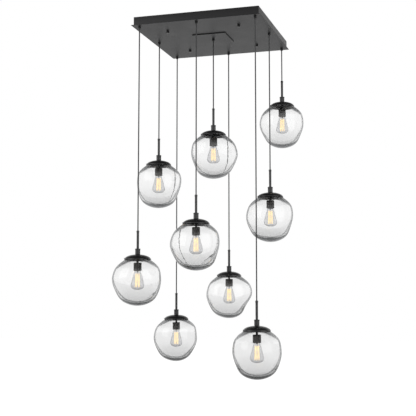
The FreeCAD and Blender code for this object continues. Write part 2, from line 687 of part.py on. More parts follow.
for name, (column, row, lobes) in PENDANTS.items():
    across = f"Sizes.cord_pitch * {column}"
    along = f"Sizes.cord_pitch * {row}"
    is_centre = (column, row) == (0, 0)
    grip_seat = f"{UNDERSIDE} - Sizes.centre_plate_thickness" if is_centre else UNDERSIDE
    grip_mouth = f"({grip_seat} - Sizes.grip_height)"
    top = f"({grip_mouth} - Sizes.cord_{name})"

    # Cord: straight, because it carries the pendant; each end stands in a flared bush
    cord = cylinder(f"Cord_{name}", "Sizes.cord_radius", f"Sizes.cord_{name} + 2 * Sizes.cord_seat",
                    across, along, f"{top} - Sizes.cord_seat")
    finish(cord, f"cord_{name}")

    stem_group = group(f"Stem_{name}", [tip, stem, collar, nipple, locknut])
    finish(place(stem_group, across, along, top), f"stem_{name}")
    cap_group = group(f"Cap_{name}", [cap] + cap_screws)
    finish(place(cap_group, across, along, top), f"cap_{name}")
    socket_group = group(f"Socket_{name}", [socket])
    finish(place(socket_group, across, along, top), f"socket_{name}")
    bulb_group = group(f"Bulb_{name}", [envelope, base, filament])
    finish(place(bulb_group, across, along, top), f"bulb_{name}")

    outside = blown_solid(lobes, 0.0, 0.0)
    inside = blown_solid(lobes, size("globe_wall"), size("globe_floor"))
    globe = doc.addObject("Part::Feature", f"Globe_{name}")
    globe.Shape = outside.cut(inside)
    finish(place(globe, across, along, f"{top} + {CAP_RIM} - Sizes.globe_depth"), f"globe_{name}")

doc.recompute()

# Checks, then one file for each sub-part ------------------------------------------------------

for item in doc.Objects:
    bad = [state for state in item.State if state in ("Invalid", "Error")]
    if bad:
        raise RuntimeError(f"{item.Label} failed: {bad}")
for item in subparts:
    if item.Shape.isNull() or not item.Shape.isValid() or not item.Shape.Solids:
        raise RuntimeError(f"{item.Label} has no valid solid")
    if item.Label.startswith("cord_") and item.Label != "cord_grips":
        section = math.pi * size("cord_radius") ** 2
        length = item.Shape.BoundBox.ZLength
        ratio = item.Shape.Volume / (section * length)
        print(f"{item.Label}: {length:.1f} mm long, volume over section times length {ratio:.4f}")

os.makedirs("parts", exist_ok=True)
for item in subparts:
    item.Shape.exportStep(os.path.join("parts", item.Label + ".step"))
print(len(subparts), "sub-parts written")
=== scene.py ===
import math

import bmesh
import bpy
from mathutils import Matrix, Vector, noise


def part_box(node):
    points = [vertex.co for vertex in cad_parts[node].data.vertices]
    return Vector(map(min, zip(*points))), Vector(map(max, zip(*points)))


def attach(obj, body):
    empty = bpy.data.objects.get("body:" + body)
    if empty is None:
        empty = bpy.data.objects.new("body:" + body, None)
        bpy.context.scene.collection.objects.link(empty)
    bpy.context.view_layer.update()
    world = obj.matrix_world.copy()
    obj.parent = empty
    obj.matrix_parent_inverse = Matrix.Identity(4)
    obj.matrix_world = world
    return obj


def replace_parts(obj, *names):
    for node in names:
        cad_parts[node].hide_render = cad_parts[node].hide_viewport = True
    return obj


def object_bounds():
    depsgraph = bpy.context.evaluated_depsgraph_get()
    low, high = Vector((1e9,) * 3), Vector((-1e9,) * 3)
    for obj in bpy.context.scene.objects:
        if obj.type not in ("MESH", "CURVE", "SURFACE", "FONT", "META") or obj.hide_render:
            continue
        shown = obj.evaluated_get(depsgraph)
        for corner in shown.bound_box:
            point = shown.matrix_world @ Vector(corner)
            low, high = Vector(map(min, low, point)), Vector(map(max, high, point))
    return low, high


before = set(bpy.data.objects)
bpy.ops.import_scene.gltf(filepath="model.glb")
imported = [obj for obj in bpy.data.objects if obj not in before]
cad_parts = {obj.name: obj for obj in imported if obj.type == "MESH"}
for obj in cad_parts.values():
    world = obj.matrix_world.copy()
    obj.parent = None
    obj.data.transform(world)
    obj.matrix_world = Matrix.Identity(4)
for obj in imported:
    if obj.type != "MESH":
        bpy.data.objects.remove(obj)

cad_low, cad_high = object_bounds()
MM = 0.001

# Ceiling bracket ------------------------------------------------------------------------------
# Two flat steel bars on a slotted cross bar, with four studs welded to their ends.  It is cut
# from strip, bent, zinc plated and screwed to the outlet box before the canopy goes up.

ZINC_GREY = "9a9c9d"
ZINC_DARK = "6f7274"
SPANGLE = 6.0 * MM           # size of a crystal in the zinc


def linear(colour):
    """Linear colour with full alpha, from an sRGB hex value."""
    parts = [int(colour[i:i + 2], 16) / 255.0 for i in (0, 2, 4)]
    return [p / 12.92 if p <= 0.04045 else ((p + 0.055) / 1.055) ** 2.4 for p in parts] + [1.0]


def add_node(material, kind, inputs=None, **settings):
    """Adds one node.  Its inputs are plain values, or the sockets that feed them."""
    tree = material.node_tree
    made = tree.nodes.new(kind)
    for name, value in settings.items():
        setattr(made, name, value)
    for name, value in (inputs or {}).items():
        if isinstance(value, bpy.types.NodeSocket):
            tree.links.new(value, made.inputs[name])
        else:
            made.inputs[name].default_value = value
    return made


def new_finish(name, **shader_values):
    """A material with its main shader, and the surface position that its patterns follow."""
    material = bpy.data.materials.new(name)
    material.use_nodes = True
    shader = material.node_tree.nodes["Principled BSDF"]
    for key, value in shader_values.items():
        shader.inputs[key.replace("_", " ")].default_value = value
    position = add_node(material, "ShaderNodeTexCoord").outputs["Object"]
    return material, shader, position


def feed(material, socket, source):
    material.node_tree.links.new(source, socket)


def zinc_plated_steel():
    # Bright zinc over rolled steel: soft metallic crystals of slightly unlike greys.
    material, shader, position = new_finish("zinc_plated_steel", Metallic=1.0)
    crystals = add_node(material, "ShaderNodeTexVoronoi", {"Vector": position, "Scale": 1 / SPANGLE})
    tone = add_node(material, "ShaderNodeMix", {"Factor": crystals.outputs["Distance"]}, data_type="RGBA")
    tone.inputs[6].default_value = linear(ZINC_GREY)
    tone.inputs[7].default_value = linear(ZINC_DARK)
    rough = add_node(material, "ShaderNodeMapRange", {
        "Value": crystals.outputs["Distance"], "To Min": 0.28, "To Max": 0.45})
    feed(material, shader.inputs["Base Color"], tone.outputs[2])
    feed(material, shader.inputs["Roughness"], rough.outputs["Result"])
    return material


def dress(node_name, material):
    """Gives a carried-over CAD node its finish."""
    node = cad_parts[node_name]
    for material_slot in node.material_slots:
        material_slot.material = material


dress("mounting_bracket", zinc_plated_steel())

# Canopy ---------------------------------------------------------------------------------------
# A square box of folded 1.5 mm sheet with rounded corners, on a larger flat face plate.  Both
# are powder coated black: a dull, faintly pebbled skin that lightens where light grazes it.

BOX_SHEET = 1.5 * MM         # thickness of the sheet
BOX_CORNER = 2.5 * MM        # radius of its upright corners
BOX_FOLD = 0.5 * MM          # radius of the sheet's edges under the coat
FLANGE = 10.0 * MM           # how far the foot of each wall turns inwards
PLATE_EDGE = 0.4 * MM
OPENING_SIDE = 110.0 * MM    # hole in the face plate, under the centre plate
POWDER_BLACK = "161617"
POWDER_WORN = "1c1c1d"
ORANGE_PEEL = 1.8 * MM       # real pebbling is about half this and would not show
HANDLING = 90.0 * MM         # broad patches where the coat is a touch smoother


def powder_coat():
    # Satin black polyester powder over steel, with an orange-peel skin.
    material, shader, position = new_finish("black_powder_coat", IOR=1.38)
    patches = add_node(material, "ShaderNodeTexNoise", {
        "Vector": position, "Scale": 1 / HANDLING, "Detail": 3.0})
    tone = add_node(material, "ShaderNodeMix", {"Factor": patches.outputs["Fac"]}, data_type="RGBA")
    tone.inputs[6].default_value = linear(POWDER_BLACK)
    tone.inputs[7].default_value = linear(POWDER_WORN)
    rough = add_node(material, "ShaderNodeMapRange", {
        "Value": patches.outputs["Fac"], "To Min": 0.40, "To Max": 0.50})
    pebbles = add_node(material, "ShaderNodeTexNoise", {
        "Vector": position, "Scale": 1 / ORANGE_PEEL, "Detail": 1.0})
    bump = add_node(material, "ShaderNodeBump", {"Height": pebbles.outputs["Fac"], "Strength": 0.12,
                                                 "Distance": 0.1 * MM})
    feed(material, shader.inputs["Base Color"], tone.outputs[2])
    feed(material, shader.inputs["Roughness"], rough.outputs["Result"])
    feed(material, shader.inputs["Normal"], bump.outputs["Normal"])
    return material


def settle(shape, name, material, body, crease=35.0):
    """Turns a finished bmesh into a piece that rides on a body."""
    bmesh.ops.recalc_face_normals(shape, faces=shape.faces)
    mesh = bpy.data.meshes.new(name)
    shape.to_mesh(mesh)
    shape.free()
    mesh.polygons.foreach_set("use_smooth", [True] * len(mesh.polygons))
    mesh.set_sharp_from_angle(angle=math.radians(crease))
    mesh.materials.append(material)
    piece = bpy.data.objects.new(name, mesh)
    bpy.context.scene.collection.objects.link(piece)
    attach(piece, body)
    return piece


def soften(piece, width, segments=2):
    """Rounds the edges of a piece by a small real radius."""
    bevel = piece.modifiers.new("edges", "BEVEL")
    bevel.width = width
    bevel.segments = segments
    bevel.limit_method = "ANGLE"
    bevel.angle_limit = math.radians(40)
    return piece


def slab(low, high):
    """A flat block between two corners."""
    shape = bmesh.new()
    bmesh.ops.create_cube(shape, size=1.0)
    bmesh.ops.scale(shape, vec=high - low, verts=shape.verts)
    bmesh.ops.translate(shape, vec=(low + high) / 2, verts=shape.verts)
    return shape


canopy_black = powder_coat()

box_low, box_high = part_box("canopy_box")
walls = slab(box_low, box_high)
lids = [f for f in walls.faces if abs(f.normal.z) > 0.5]
bmesh.ops.delete(walls, geom=lids, context="FACES_ONLY")
uprights = [e for e in walls.edges if abs(e.verts[0].co.z - e.verts[1].co.z) > (box_high.z - box_low.z) / 2]
bmesh.ops.bevel(walls, geom=uprights, offset=BOX_CORNER, segments=4, affect="EDGES", profile=0.5, material=-1)
foot = [e for e in walls.edges if max(v.co.z for v in e.verts) < (box_low.z + box_high.z) / 2]
turned_in = bmesh.ops.extrude_edge_only(walls, edges=foot)["geom"]
inward = 1.0 - 2 * FLANGE / (box_high.x - box_low.x)
lip = [part for part in turned_in if isinstance(part, bmesh.types.BMVert)]
bmesh.ops.scale(walls, vec=(inward, inward, 1.0), verts=lip)
canopy_box = settle(walls, "canopy_box_folded", canopy_black, "canopy")
folded = canopy_box.modifiers.new("sheet", "SOLIDIFY")
folded.thickness = BOX_SHEET
folded.offset = -1.0
soften(canopy_box, BOX_FOLD)
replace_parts(canopy_box, "canopy_box")


def plate_with_opening(low, high, side):
    """A flat plate with a square opening in its middle."""
    shape = slab(low, high)
    broad = [f for f in shape.faces if abs(f.normal.z) > 0.5]
    bmesh.ops.inset_individual(shape, faces=broad, thickness=(high.x - low.x - side) / 2)
    middle = [f for f in shape.faces if abs(f.normal.z) > 0.5 and f.calc_area() < side * side * 1.1]
    bmesh.ops.delete(shape, geom=middle, context="FACES_ONLY")
    rims = [e for e in shape.edges if len(e.link_faces) == 1]
    bmesh.ops.bridge_loops(shape, edges=rims)
    return shape


plate_low, plate_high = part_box("face_plate")
face_plate = settle(plate_with_opening(plate_low, plate_high, OPENING_SIDE),
                    "face_plate_coated", canopy_black, "canopy")
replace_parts(soften(face_plate, PLATE_EDGE), "face_plate")

centre_low, centre_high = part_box("centre_plate")
centre_plate = settle(slab(centre_low, centre_high), "centre_plate_coated",
                      canopy_black, "canopy")
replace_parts(soften(centre_plate, PLATE_EDGE), "centre_plate")

# Thumb nuts and cord grips --------------------------------------------------------------------
# Four knurled nuts draw the canopy up on its studs, and nine turned bushes let the cords out.
# They are turned from bar and lacquered black: smoother and darker than the powder coat.

LACQUER_BLACK = "0f0f10"
LACQUER_WORN = "1a1a1b"
LATHE_LINE = 0.6 * MM        # one turning ring, coarser than a real one so that it shows
BLOTCH = 25.0 * MM           # patches where the lacquer lies a touch thicker
NUT_RADIUS = 6.5 * MM
NUT_BORE = 2.6 * MM          # round the stud
NUT_BEVEL = 1.0 * MM
NUT_END_HOLE = 1.5 * MM      # small hole in the closed end
NUT_FLUTES = 24
NUT_FLUTE_DEPTH = 0.35 * MM
ROUND = 48                   # straight sides round a small turned piece


def black_lacquer():
    # Semi-gloss black lacquer over turned steel: faint rings from the lathe under the paint.
    material, shader, position = new_finish("black_lacquered_steel", IOR=1.5)
    blotches = add_node(material, "ShaderNodeTexNoise", {
        "Vector": position, "Scale": 1 / BLOTCH, "Detail": 2.0})
    tone = add_node(material, "ShaderNodeMix", {"Factor": blotches.outputs["Fac"]}, data_type="RGBA")
    tone.inputs[6].default_value = linear(LACQUER_BLACK)
    tone.inputs[7].default_value = linear(LACQUER_WORN)
    rough = add_node(material, "ShaderNodeMapRange", {
        "Value": blotches.outputs["Fac"], "To Min": 0.24, "To Max": 0.36})
    rings = add_node(material, "ShaderNodeTexWave", {
        "Vector": position, "Scale": 1 / (2 * math.pi * LATHE_LINE), "Distortion": 0.4}, bands_direction="Z")
    bump = add_node(material, "ShaderNodeBump", {"Height": rings.outputs["Fac"], "Strength": 0.08,
                                                 "Distance": 0.05 * MM})
    feed(material, shader.inputs["Base Color"], tone.outputs[2])
    feed(material, shader.inputs["Roughness"], rough.outputs["Result"])
    feed(material, shader.inputs["Normal"], bump.outputs["Normal"])
    return material


def turn(shape, section, sides, closed=True):
    """Turns a section of (radius, height) points about the upright axis."""
    rim = [shape.verts.new((radius, 0.0, height)) for radius, height in section]
    pairs = list(zip(rim, rim[1:])) + ([(rim[-1], rim[0])] if closed else [])
    edges = [shape.edges.new(pair) for pair in pairs]
    bmesh.ops.spin(shape, geom=rim + edges, axis=(0, 0, 1), cent=(0, 0, 0), steps=sides,
                   angle=2 * math.pi, use_merge=True)
    bmesh.ops.remove_doubles(shape, verts=shape.verts, dist=0.001 * MM)


black_steel = black_lacquer()
nut_low, nut_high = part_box("thumb_nuts")
nut_height = nut_high.z - nut_low.z
stud_reach = nut_high.x - NUT_RADIUS
nuts = bmesh.new()
for x in (-stud_reach, stud_reach):
    for y in (-stud_reach, stud_reach):
        nut = bmesh.new()
        turn(nut, [(NUT_BORE, 0), (NUT_RADIUS - NUT_BEVEL, 0), (NUT_RADIUS, -NUT_BEVEL),
                   (NUT_RADIUS, NUT_BEVEL - nut_height), (NUT_RADIUS - NUT_BEVEL, -nut_height),
                   (NUT_END_HOLE, -nut_height), (NUT_END_HOLE, NUT_BEVEL - nut_height),
                   (NUT_BORE, NUT_BEVEL - nut_height)], 2 * NUT_FLUTES)
        for vert in nut.verts:
            step = round(math.atan2(vert.co.y, vert.co.x) / (math.pi / NUT_FLUTES))
            if step % 2 and vert.co.xy.length > NUT_RADIUS - NUT_BEVEL / 10:
                vert.co.xy = vert.co.xy * (1 - NUT_FLUTE_DEPTH / NUT_RADIUS)
        bmesh.ops.translate(nut, vec=(x, y, nut_high.z), verts=nut.verts)
        mesh = bpy.data.meshes.new("nut")
        nut.to_mesh(mesh)
        nut.free()
        nuts.from_mesh(mesh)
        bpy.data.meshes.remove(mesh)
thumb_nuts = settle(nuts, "thumb_nuts_knurled", black_steel, "canopy")
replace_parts(thumb_nuts, "thumb_nuts")
dress("cord_grips", black_steel)

# Cords ----------------------------------------------------------------------------------------
# Round black lamp cord, 5.5 mm over its jacket, hanging straight under the weight of a pendant.
# The jacket is extruded rubber: dull, with a trace of chalky bloom along it.

PENDANTS = [f"{depth}_{side}" for depth in ("front", "back") for side in ("left", "centre", "right")]
PENDANTS += ["middle_left", "centre", "middle_right"]
CORD_DIAMETER = 5.5 * MM
RUBBER_BLACK = "262627"
RUBBER_BLOOM = "323233"
BLOOM_SPAN = 40.0 * MM


def cord_rubber():
    # Black rubber jacket, slightly chalky where it has been handled.
    material, shader, position = new_finish("black_cord_rubber", Roughness=0.6)
    bloom = add_node(material, "ShaderNodeTexNoise", {
        "Vector": position, "Scale": 1 / BLOOM_SPAN, "Detail": 3.0})
    tone = add_node(material, "ShaderNodeMix", {"Factor": bloom.outputs["Fac"]}, data_type="RGBA")
    tone.inputs[6].default_value = linear(RUBBER_BLACK)
    tone.inputs[7].default_value = linear(RUBBER_BLOOM)
    feed(material, shader.inputs["Base Color"], tone.outputs[2])
    return material


cord_black = cord_rubber()
for name in PENDANTS:
    low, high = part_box(f"cord_{name}")
    middle = (low + high) / 2
    line = bpy.data.curves.new(f"cord_{name}_jacket", "CURVE")
    line.dimensions = "3D"
    line.bevel_depth = CORD_DIAMETER / 2
    line.bevel_resolution = 5
    line.use_fill_caps = True
    spline = line.splines.new("NURBS")
    route = [(middle.x, middle.y, high.z), (middle.x, middle.y, middle.z), (middle.x, middle.y, low.z)]
    spline.points.add(len(route) - 1)
    for point, place in zip(spline.points, route):
        point.co = (*place, 1.0)
    spline.order_u = 3
    spline.use_endpoint_u = True
    line.materials.append(cord_black)
    cord = bpy.data.objects.new(f"cord_{name}_jacket", line)
    bpy.context.scene.collection.objects.link(cord)
    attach(cord, f"drop_{name}")
    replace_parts(cord, f"cord_{name}")

# Stems and caps -------------------------------------------------------------------------------
# Each pendant hangs by a length of lamp pipe with a flared bush on top.  A turned collar joins
# the pipe to a nipple, and the collar and a locknut hold a spun steel cap between them.

STEM_LENGTH = 80.0 * MM      # from the top of the bush to the top of the collar
COLLAR_LENGTH = 25.5 * MM
NUT_SIDES = 6                # the locknut under the cap
CAP_HEIGHT = 23.5 * MM
CAP_RADIUS = 59.5 * MM
CAP_SHEET = 1.5 * MM
CAP_HOLE = 5.3 * MM          # for the nipple
CAP_ROLL = 0.5 * MM          # how far the rolled edge stands below the rim
SCREW_RADIUS = 1.5 * MM      # the three screws that reach in to the neck of the globe
SCREW_LENGTH = 8.7 * MM
SCREW_MIDDLE = 56.35 * MM    # from the axis to the middle of a screw
SCREW_RISE = 5.0 * MM        # above the rim of the cap
SCREW_ANGLES = (90, 210, 330)
SOCKET_GAP = 13.0 * MM       # from the rim of the cap down to the socket
SOCKET_LENGTH = 36.5 * MM
COLLAR_TOP = -STEM_LENGTH
CAP_TOP = COLLAR_TOP - COLLAR_LENGTH
CAP_RIM = CAP_TOP - CAP_HEIGHT
SOCKET_TOP = CAP_RIM - SOCKET_GAP
SOCKET_MOUTH = SOCKET_TOP - SOCKET_LENGTH


def in_mm(*points):
    """(radius, height) points in metres, from millimetres."""
    return [(radius * MM, height * MM) for radius, height in points]


def hang(shape, name):
    """Moves a pendant piece, made with its top at 0, to where its pendant hangs."""
    low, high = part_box(f"stem_{name}")
    bmesh.ops.translate(shape, vec=((low.x + high.x) / 2, (low.y + high.y) / 2, high.z), verts=shape.verts)
    return shape


def stem_shape():
    """Bush, pipe, collar, nipple and locknut, from sections in millimetres below the bush's top."""
    bush = [(5, 0), (3.2, -4.6), (2.75, -4.6), (2.75, -8), (5.7, -8), (6.3, -7.4), (6.3, -1.2), (5.9, -0.3)]
    pipe = [(4, -8), (5.5, -8), (5.5, -92), (4, -92)]
    collar = [(5.55, -80), (11.2, -80), (12, -80.8), (12, -84.6), (11.2, -85.4), (11.2, -105.5),
              (5.05, -105.5), (5.05, -96.5), (3.3, -96.5), (3.3, -92), (5.55, -92)]
    nipple = [(3.3, -96.5), (5, -96.5), (5, -150), (3.3, -150)]
    locknut = [(5.05, -107.3), (8.3, -107.3), (8.3, -111.3), (5.05, -111.3)]
    shape = bmesh.new()
    for section in (bush, pipe, collar, nipple):
        turn(shape, in_mm(*section), ROUND)
    turn(shape, in_mm(*locknut), NUT_SIDES)
    return shape


CAP_STEPS = 22               # points along the dish of the cap
CAP_ROUND = 96               # and round it


def cap_shape():
    """The dished cap with its three screws lying in their holes."""
    shape = bmesh.new()
    outer = []
    inner = []
    for step in range(CAP_STEPS + 1):
        share = step / CAP_STEPS
        for line, sheet in ((outer, 0.0), (inner, CAP_SHEET)):
            radius = CAP_RADIUS - sheet
            start = math.asin(CAP_HOLE / radius)
            angle = start + (math.pi / 2 - start) * share
            line.append((radius * math.sin(angle), CAP_RIM + (CAP_HEIGHT - sheet) * math.cos(angle)))
    rolled = [(CAP_RADIUS - CAP_SHEET / 2, CAP_RIM - CAP_ROLL)]
    turn(shape, outer + rolled + inner[::-1], CAP_ROUND)
    for degrees in SCREW_ANGLES:
        screw = bmesh.ops.create_cone(shape, cap_ends=True, segments=16, radius1=SCREW_RADIUS,
                                      radius2=SCREW_RADIUS, depth=SCREW_LENGTH)["verts"]
        lying = Matrix.Rotation(math.pi / 2, 3, "Y")
        around = Matrix.Rotation(math.radians(degrees), 3, "Z")
        bmesh.ops.rotate(shape, verts=screw, cent=(0, 0, 0), matrix=lying)
        bmesh.ops.translate(shape, verts=screw, vec=(SCREW_MIDDLE, 0, CAP_RIM + SCREW_RISE))
        bmesh.ops.rotate(shape, verts=screw, cent=(0, 0, 0), matrix=around)
    return shape


STEM_EDGE = 0.25 * MM
for name in PENDANTS:
    body = f"pendant_{name}"
    stem = settle(hang(stem_shape(), name), f"stem_{name}_turned", black_steel, body)
    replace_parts(soften(stem, STEM_EDGE), f"stem_{name}")
    cap = settle(hang(cap_shape(), name), f"cap_{name}_spun", black_steel, body, crease=50.0)
    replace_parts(cap, f"cap_{name}")

# Sockets --------------------------------------------------------------------------------------
# A medium screw socket moulded in black phenolic, threaded on to the foot of the nipple.
# The moulding is dense and dull, with a shallow groove above its mouth.

PHENOLIC = "262524"
PHENOLIC_LIGHT = "33302d"
MOULD_GRAIN = 3.0 * MM
SOCKET_ROUND = 64            # straight sides round it


def moulded_phenolic():
    # Black phenolic: a hard moulded plastic with a dull even skin.
    material, shader, position = new_finish("black_phenolic")
    grain = add_node(material, "ShaderNodeTexNoise", {
        "Vector": position, "Scale": 1 / MOULD_GRAIN, "Detail": 4.0})
    tone = add_node(material, "ShaderNodeMix", {"Factor": grain.outputs["Fac"]}, data_type="RGBA")
    tone.inputs[6].default_value = linear(PHENOLIC)
    tone.inputs[7].default_value = linear(PHENOLIC_LIGHT)
    rough = add_node(material, "ShaderNodeMapRange", {
        "Value": grain.outputs["Fac"], "To Min": 0.42, "To Max": 0.55})
    feed(material, shader.inputs["Base Color"], tone.outputs[2])
    feed(material, shader.inputs["Roughness"], rough.outputs["Result"])
    return material


def socket_shape():
    """A cup with a shallow groove above its mouth, open below for the bulb."""
    shape = bmesh.new()
    top = SOCKET_TOP / MM
    mouth = SOCKET_MOUTH / MM
    turn(shape, in_mm((5.05, top), (15.6, top), (17, top - 0.6), (17.75, top - 2), (17.75, mouth + 4),
                      (17.4, mouth + 3.7), (17.4, mouth + 3.3), (17.75, mouth + 3), (17.75, mouth + 1.2),
                      (16.9, mouth + 0.2), (16, mouth), (14, mouth), (14, top - 8), (5.05, top - 8)),
         SOCKET_ROUND)
    return shape


phenolic = moulded_phenolic()
for name in PENDANTS:
    socket = settle(hang(socket_shape(), name), f"socket_{name}_moulded", phenolic,
                    f"pendant_{name}")
    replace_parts(socket, f"socket_{name}")

# Bulbs ----------------------------------------------------------------------------------------
# A clear pear-shaped lamp: blown glass cemented into a nickelled brass screw base, with a glass
# stem that holds a tall cage of carbon-look filament.  Lit low, it glows a pale straw yellow.

BULB_WALL = 0.8 * MM
BULB_STEPS = 4               # steps from one listed point to the next
BULB_ROUND = 64
LAMP_CLEAR = "f2f2f3"
LAMP_RIPPLED = "e9e9ea"
LAMP_EDGE_SHADE = "8a8c90"         # painted shade: the grey that the thin glass is painted where it is seen edge on
LAMP_EDGE_START = 0.45       # share of grazing view from which it does so
LAMP_EDGE_FULL = 0.9
LAMP_RIPPLE = 20.0 * MM
GLASS_SHADE = (0.93, 0.93, 0.93, 1.0)     # how much light passes through one skin of glass
BASE_BRASS = "b79a5c"
SCUFF = 2.0 * MM
THREAD_TURNS = 5
THREAD_PITCH = 2.9           # millimetres, a little finer than a real lamp thread
WIRE_BROWN = "c99a4a"
GLOW_PALE = "fff0c8"
GLOW_DEEP = "ffe6a8"
GLOW_STRENGTH = 1.2
FLICKER = 8.0 * MM           # lengths of filament that glow a little unlike


def smooth_line(points, steps):
    """A smooth line of (radius, height) points through a few listed ones."""
    ends = [points[0]] + points + [points[-1]]
    line = []
    for i in range(1, len(ends) - 2):
        before, start, end, after = (Vector(p) for p in ends[i - 1:i + 3])
        for step in range(steps):
            t = step / steps
            spot = 0.5 * (2 * start + (end - before) * t + (2 * before - 5 * start + 4 * end - after) * t ** 2
                          + (3 * start - before - 3 * end + after) * t ** 3)
            line.append((spot.x, spot.y))
    line.append(tuple(points[-1]))
    return line


def bulb_glass_shape():
    """A thin pear-shaped envelope whose neck stands in the screw base."""
    shape = bmesh.new()
    mouth = SOCKET_MOUTH / MM
    # Radius, and how far below the socket's mouth, in millimetres
    drops = [(12.2, -8), (12.2, -1.5), (13.6, 3), (15.9, 9), (18.9, 19.5), (22.2, 32), (25.4, 45), (28.3, 57),
             (29.5, 66), (28.2, 73), (23.5, 79.6), (14.5, 84.5), (6.5, 85.8), (0, 86)]
    outside = smooth_line([(radius * MM, (mouth - drop) * MM) for radius, drop in drops], BULB_STEPS)
    outside[-1] = (0.0, outside[-1][1])
    inside = []
    for i, (radius, height) in enumerate(outside):
        low = Vector(outside[max(i - 1, 0)])
        high = Vector(outside[min(i + 1, len(outside) - 1)])
        along = (high - low).normalized()
        inside.append((max(radius + along.y * BULB_WALL, 0.0), height - along.x * BULB_WALL))
    inside[-1] = (0.0, outside[-1][1] + BULB_WALL)
    turn(shape, outside + inside[::-1], BULB_ROUND)
    return shape


def send_out(material, way, source):
    """Makes a shader the material's surface, or its volume."""
    feed(material, material.node_tree.nodes["Material Output"].inputs[way], source)


def let_light_in(material, shader):
    """Glass throws no hard shadow: light for the pieces inside passes straight through."""
    path = add_node(material, "ShaderNodeLightPath")
    clear = add_node(material, "ShaderNodeBsdfTransparent")
    clear.inputs["Color"].default_value = GLASS_SHADE
    both = add_node(material, "ShaderNodeMixShader", {0: path.outputs["Is Shadow Ray"],
                                                      1: shader.outputs["BSDF"], 2: clear.outputs["BSDF"]})
    send_out(material, "Surface", both.outputs["Shader"])


def bulb_glass():
    # Thin clear soda-lime glass: no colour, faint ripples from the blowing, and painted shade that greys it
    # where it is seen edge on.
    material, shader, position = new_finish("clear_lamp_glass", Roughness=0.0, IOR=1.5)
    shader.inputs["Transmission Weight"].default_value = 1.0
    ripple = add_node(material, "ShaderNodeTexNoise", {
        "Vector": position, "Scale": 1 / LAMP_RIPPLE, "Detail": 1.0})
    tint = add_node(material, "ShaderNodeMix", {"Factor": ripple.outputs["Fac"]}, data_type="RGBA")
    tint.inputs[6].default_value = linear(LAMP_CLEAR)
    tint.inputs[7].default_value = linear(LAMP_RIPPLED)
    along_wall = add_node(material, "ShaderNodeLayerWeight", {"Blend": 0.5})
    painted_edge_shade = add_node(material, "ShaderNodeMapRange", {"Value": along_wall.outputs["Facing"],
                                                     "From Min": LAMP_EDGE_START,
                                                     "From Max": LAMP_EDGE_FULL})
    # painted shade at the glass's edge
    tone = add_node(material, "ShaderNodeMix", {"Factor": painted_edge_shade.outputs["Result"], 6: tint.outputs[2]},
                    data_type="RGBA")
    tone.inputs[7].default_value = linear(LAMP_EDGE_SHADE)
    feed(material, shader.inputs["Base Color"], tone.outputs[2])
    let_light_in(material, shader)
    return material


def base_shape():
    """The screw base: a rolled thread, a shoulder and the contact, hollow for the glass neck."""
    shape = bmesh.new()
    mouth = SOCKET_MOUTH / MM + 1.5
    outside = [(13.1, mouth)]
    for thread_turn in range(THREAD_TURNS):
        for share, groove in ((0.25, 0.0), (0.5, -0.5), (0.75, -0.5), (1.0, 0.0)):
            outside.append((13.0 + groove, mouth + 3 + (thread_turn + share) * THREAD_PITCH))
    top = mouth + 24
    outside += [(12.6, top - 5), (6.5, top - 2.4), (4.6, top - 2.2), (4.4, top - 0.6),
                (3.2, top - 0.05), (0, top)]
    inside = [(0, top - 5.5), (11.4, top - 5.6), (12.2, top - 7), (12.4, mouth)]
    turn(shape, in_mm(*outside, *inside), ROUND)
    return shape


def lamp_brass():
    # Nickelled brass, rolled into a thread: bright, faintly yellow, a little scuffed.
    material, shader, position = new_finish("lamp_base_brass", Metallic=1.0)
    scuffs = add_node(material, "ShaderNodeTexNoise", {
        "Vector": position, "Scale": 1 / SCUFF, "Detail": 3.0})
    rough = add_node(material, "ShaderNodeMapRange", {
        "Value": scuffs.outputs["Fac"], "To Min": 0.2, "To Max": 0.4})
    shader.inputs["Base Color"].default_value = linear(BASE_BRASS)
    feed(material, shader.inputs["Roughness"], rough.outputs["Result"])
    return material


def filament_glow():
    # Glowing coiled filament: pale straw yellow, some lengths of it a little deeper.
    material, shader, position = new_finish("glowing_filament", Roughness=0.6)
    shader.inputs["Base Color"].default_value = linear(WIRE_BROWN)
    flicker = add_node(material, "ShaderNodeTexNoise", {
        "Vector": position, "Scale": 1 / FLICKER, "Detail": 1.0})
    glow = add_node(material, "ShaderNodeMix", {"Factor": flicker.outputs["Fac"]}, data_type="RGBA")
    glow.inputs[6].default_value = linear(GLOW_PALE)
    glow.inputs[7].default_value = linear(GLOW_DEEP)
    feed(material, shader.inputs["Emission Color"], glow.outputs[2])
    shader.inputs["Emission Strength"].default_value = GLOW_STRENGTH
    return material


FILAMENT_TOP = 12.0          # millimetres below the socket's mouth
FILAMENT_BOTTOM = 74.0
TOP_REACH = 8.5              # from the bulb's axis out to the upper hooks
BOTTOM_REACH = 10.5
STRANDS = 12
STRAND_RADIUS = 0.9 * MM     # a coiled strand; the bare wire in it is far finer
CENTRE_ROD = 0.6 * MM


def rod(shape, start, end, radius, sides=8):
    """A round rod between two points."""
    along = end - start
    made = bmesh.ops.create_cone(shape, cap_ends=True, segments=sides, radius1=radius, radius2=radius,
                                 depth=along.length)["verts"]
    turned = along.to_track_quat("Z", "Y").to_matrix()
    bmesh.ops.rotate(shape, verts=made, cent=(0, 0, 0), matrix=turned)
    bmesh.ops.translate(shape, verts=made, vec=(start + end) / 2)


def filament_shape():
    """A cage of strands that run up and down between two rings of hooks."""
    shape = bmesh.new()
    hooks = []
    for i in range(STRANDS):
        low = i % 2
        reach = (BOTTOM_REACH if low else TOP_REACH) * MM
        angle = 2 * math.pi * i / STRANDS
        drop = (FILAMENT_BOTTOM if low else FILAMENT_TOP) * MM
        hooks.append(Vector((reach * math.cos(angle), reach * math.sin(angle), SOCKET_MOUTH - drop)))
    for start, end in zip(hooks, hooks[1:] + hooks[:1]):
        rod(shape, start, end, STRAND_RADIUS)
    return shape


